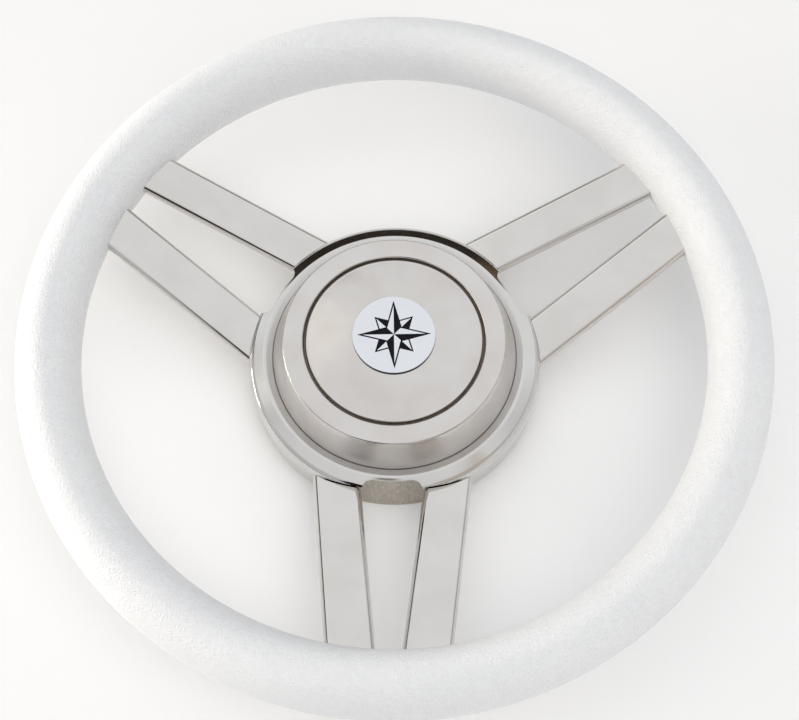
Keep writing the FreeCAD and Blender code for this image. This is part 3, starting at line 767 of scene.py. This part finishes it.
def make_floor():
    """Round pale floor with a faint glow, which keeps the shadows light."""
    bm = bmesh.new()
    bmesh.ops.create_circle(bm, cap_ends=True, segments=128, radius=FLOOR_RADIUS)
    floor = mesh_object(bm, "floor")
    finish = Finish("pale_floor", Roughness=0.9)
    finish.shader.inputs["Specular IOR Level"].default_value = 0.0
    finish.shader.inputs["Emission Color"].default_value = (1, 1, 1, 1)
    finish.shader.inputs["Emission Strength"].default_value = 0.07
    finish.colour(finish.blend(finish.noise(3.0), (0.92, 0.92, 0.92), (0.94, 0.94, 0.94)))
    floor.data.materials.append(finish.material)


class Sky(Shading):
    """The studio round the wheel: a base by elevation and soft-edged patches laid over it."""

    def __init__(self):
        world = bpy.data.worlds.new("studio")
        bpy.context.scene.world = world
        super().__init__(world)
        way = self.nodes.new("ShaderNodeTexCoord").outputs["Generated"]
        self.x, self.y, z = self.split(way)
        self.level = self.math("MAXIMUM", self.distance(self.x, self.y), 0.001)
        self.elevation = self.math("DEGREES", self.math("ARCTAN2", z, self.level))
        self.colour = None

    def step(self, value, middle, blur):
        """Soft rise from 0 to 1 about a value."""
        return self.ranged(value, middle - blur / 2, middle + blur / 2, curve="SMOOTHSTEP")

    def base(self, stops):
        """Colour by elevation in degrees, from (elevation, colour) stops."""
        ramp = self.nodes.new("ShaderNodeValToRGB")
        self.links.new(self.math("DIVIDE", self.elevation, 90.0), ramp.inputs["Fac"])
        elements = ramp.color_ramp.elements
        while len(elements) < len(stops):
            elements.new(0.5)
        for element, (elevation, colour) in zip(elements, stops):
            element.position = elevation / 90
            element.color = (*colour, 1)
        self.colour = ramp.outputs["Color"]

    def patch(self, colour, azimuth, half_width, low, high, side_blur, edge_blur):
        """Lays a colour over a stretch of azimuth and elevation, in degrees."""
        turn = math.radians(azimuth)
        along = self.math("ADD", self.math("MULTIPLY", self.x, math.cos(turn)),
                          self.math("MULTIPLY", self.y, math.sin(turn)))
        away = self.math("DEGREES", self.math("ARCCOSINE", self.math("DIVIDE", along, self.level)))
        inside = self.math("SUBTRACT", 1.0, self.step(away, half_width, side_blur))
        above = self.step(self.elevation, low, edge_blur)
        below = self.math("SUBTRACT", 1.0, self.step(self.elevation, high, edge_blur))
        share = self.math("MULTIPLY", inside, self.math("MULTIPLY", above, below))
        mix = self.nodes.new("ShaderNodeMix")
        mix.data_type = "RGBA"
        self.links.new(share, mix.inputs["Factor"])
        self.links.new(self.colour, mix.inputs["A"])
        mix.inputs["B"].default_value = (*colour, 1)
        self.colour = mix.outputs["Result"]

    def close(self, backdrop):
        """Joins the studio to the world's output; the camera sees a plain backdrop."""
        background = self.nodes["Background"]
        self.links.new(self.colour, background.inputs["Color"])
        seen = self.nodes.new("ShaderNodeBackground")
        seen.inputs["Color"].default_value = (*backdrop, 1)
        path = self.nodes.new("ShaderNodeLightPath")
        mix = self.nodes.new("ShaderNodeMixShader")
        self.links.new(path.outputs["Is Camera Ray"], mix.inputs["Fac"])
        self.links.new(background.outputs["Background"], mix.inputs[1])
        self.links.new(seen.outputs["Background"], mix.inputs[2])
        self.links.new(mix.outputs["Shader"], self.nodes["World Output"].inputs["Surface"])


def make_sky():
    """Pale ceiling and grey walls, with windows, dark shelves and panels, and a low warm lamp.
    Azimuths run anticlockwise from the wheel's right side, seen from above."""
    sky = Sky()
    sky.base([
        (0, (0.42, 0.415, 0.41)),
        (12, (0.50, 0.50, 0.50)),
        (24, (0.59, 0.595, 0.61)),
        (45, (0.62, 0.62, 0.63)),
        (58, (0.86, 0.86, 0.87)),
        (90, (0.92, 0.925, 0.935)),
    ])
    sky.patch((0.93, 0.94, 0.955), 90, 75, 30, 91, side_blur=30, edge_blur=6)
    sky.patch((0.70, 0.69, 0.67), 175, 24, 19, 44, side_blur=20, edge_blur=8)
    sky.patch((1.06, 1.04, 1.0), 145, 24, 42, 60, side_blur=16, edge_blur=8)
    sky.patch((0.60, 0.55, 0.49), 318, 20, 26, 62, side_blur=12, edge_blur=8)
    sky.patch((0.14, 0.12, 0.10), 306, 14, 4, 25, side_blur=8, edge_blur=4)
    sky.patch((0.13, 0.12, 0.11), 40, 34, 0, 12, side_blur=12, edge_blur=5)
    sky.patch((0.03, 0.024, 0.019), 108, 50, 19, 29, side_blur=8, edge_blur=2.5)
    sky.patch((0.05, 0.042, 0.036), 116, 8, 27, 36, side_blur=7, edge_blur=3)
    sky.patch((0.16, 0.11, 0.065), 64, 7, 27, 35, side_blur=6, edge_blur=3)
    sky.patch((0.30, 0.27, 0.24), 262, 9, 66, 72, side_blur=8, edge_blur=4)
    sky.patch((0.022, 0.016, 0.011), 250, 12, 27, 61, side_blur=6, edge_blur=4)
    sky.patch((0.34, 0.29, 0.24), 271, 8, 33, 56, side_blur=6, edge_blur=4)
    sky.patch((2.6, 2.4, 2.15), 178, 20, 8, 19, side_blur=8, edge_blur=3)
    sky.close((0.97, 0.97, 0.97))


def make_light(name, direction, distance, width, height, power, colour, mirrored=True):
    """Rectangular lamp that faces the wheel; the steel doesn't mirror it unless it is mirrored."""
    light = bpy.data.lights.new(name, "AREA")
    light.shape = "RECTANGLE"
    light.size = width
    light.size_y = height
    light.energy = power
    light.color = colour
    lamp = linked(name, light)
    way = Vector(direction).normalized()
    lamp.location = Vector((0, 0, RIM_PLANE)) + way * distance
    lamp.rotation_euler = (-way).to_track_quat("-Z", "Y").to_euler()
    lamp.visible_glossy = mirrored


def make_camera():
    """Camera at the photo's angle: azimuth and elevation of the view, roll, distance and lens."""
    azimuth = math.radians(1.87)
    elevation = math.radians(67.04)
    roll = math.radians(-1.09)
    distance = 736.2 * MM
    target = Vector((2.635, -9.919, 38.5)) * MM
    back = Vector((math.sin(azimuth) * math.cos(elevation), -math.cos(azimuth) * math.cos(elevation),
                   math.sin(elevation)))
    data = bpy.data.cameras.new("camera")
    data.lens = 71.95
    data.sensor_width = 36.0
    camera = linked("camera", data)
    right = (-back).cross(UP).normalized()
    upward = right.cross(-back).normalized()
    turned_right = right * math.cos(roll) + upward * math.sin(roll)
    turned_up = upward * math.cos(roll) - right * math.sin(roll)
    facing = Matrix((turned_right, turned_up, back)).transposed().to_4x4()
    facing.translation = target + back * distance
    camera.matrix_world = facing
    bpy.context.scene.camera = camera


mirror = polished_steel("polished_steel", (0.69, 0.68, 0.665), (0.65, 0.64, 0.625), wave=0.12,
                        clear=0.05, hazy=0.09, softer=(61.8 * MM, 59.5 * MM))
cap_mirror = polished_steel("cap_steel", (0.70, 0.676, 0.655), (0.65, 0.618, 0.594), wave=0.12,
                            clear=0.13, hazy=0.2, softer=(51.8 * MM, 53 * MM))
bar_mirror = polished_steel("bar_steel", (0.71, 0.688, 0.664), (0.672, 0.648, 0.622), wave=0.084,
                            clear=0.035, hazy=0.075)
satin = satin_steel()
hidden = machined_steel("hidden_steel", (0.6, 0.59, 0.57), (0.5, 0.49, 0.47))
screws = machined_steel("screw_steel", (0.66, 0.65, 0.63), (0.56, 0.55, 0.53))
black = rubber()
white_face = enamel("emblem_white", (0.80, 0.84, 0.90), (0.78, 0.82, 0.88), 0.5)
black_field = enamel("emblem_black", (0.003, 0.003, 0.006), (0.005, 0.005, 0.009), 0.12)

for pair in PAIR_ANGLES:
    for side_name in BAR_SIDES:
        dress(make_bar(pair, side_name), bar_mirror)
dress(make_body(), satin)
dress(make_bell(), mirror)
dress(make_collar(), cap_mirror)
dress(make_disc(), cap_mirror)
dress(make_gasket(), black)
dress(make_emblem(), white_face, black_field)
dress(make_rose(), white_face, black_field)
dress(make_grip(), grained_polymer())
for node in ("rim_core", "shaft_boss", "cap_seat"):
    dress(node, hidden)
for node in ("boss_screws", "cap_seat_screws", "cap_disc_screws"):
    dress(node, screws)
dress("cap_seat_ring", black)

make_floor()
make_sky()
make_light("key", (-0.99, 0.12, 0.06), 1.6, 0.5, 0.35, 18.0, (1.0, 0.93, 0.82))
make_light("fill", (0.35, -0.5, 0.8), 2.4, 2.4, 2.4, 15.0, (1.0, 0.985, 0.96), mirrored=False)
make_camera()
bpy.context.scene.view_settings.view_transform = "Standard"
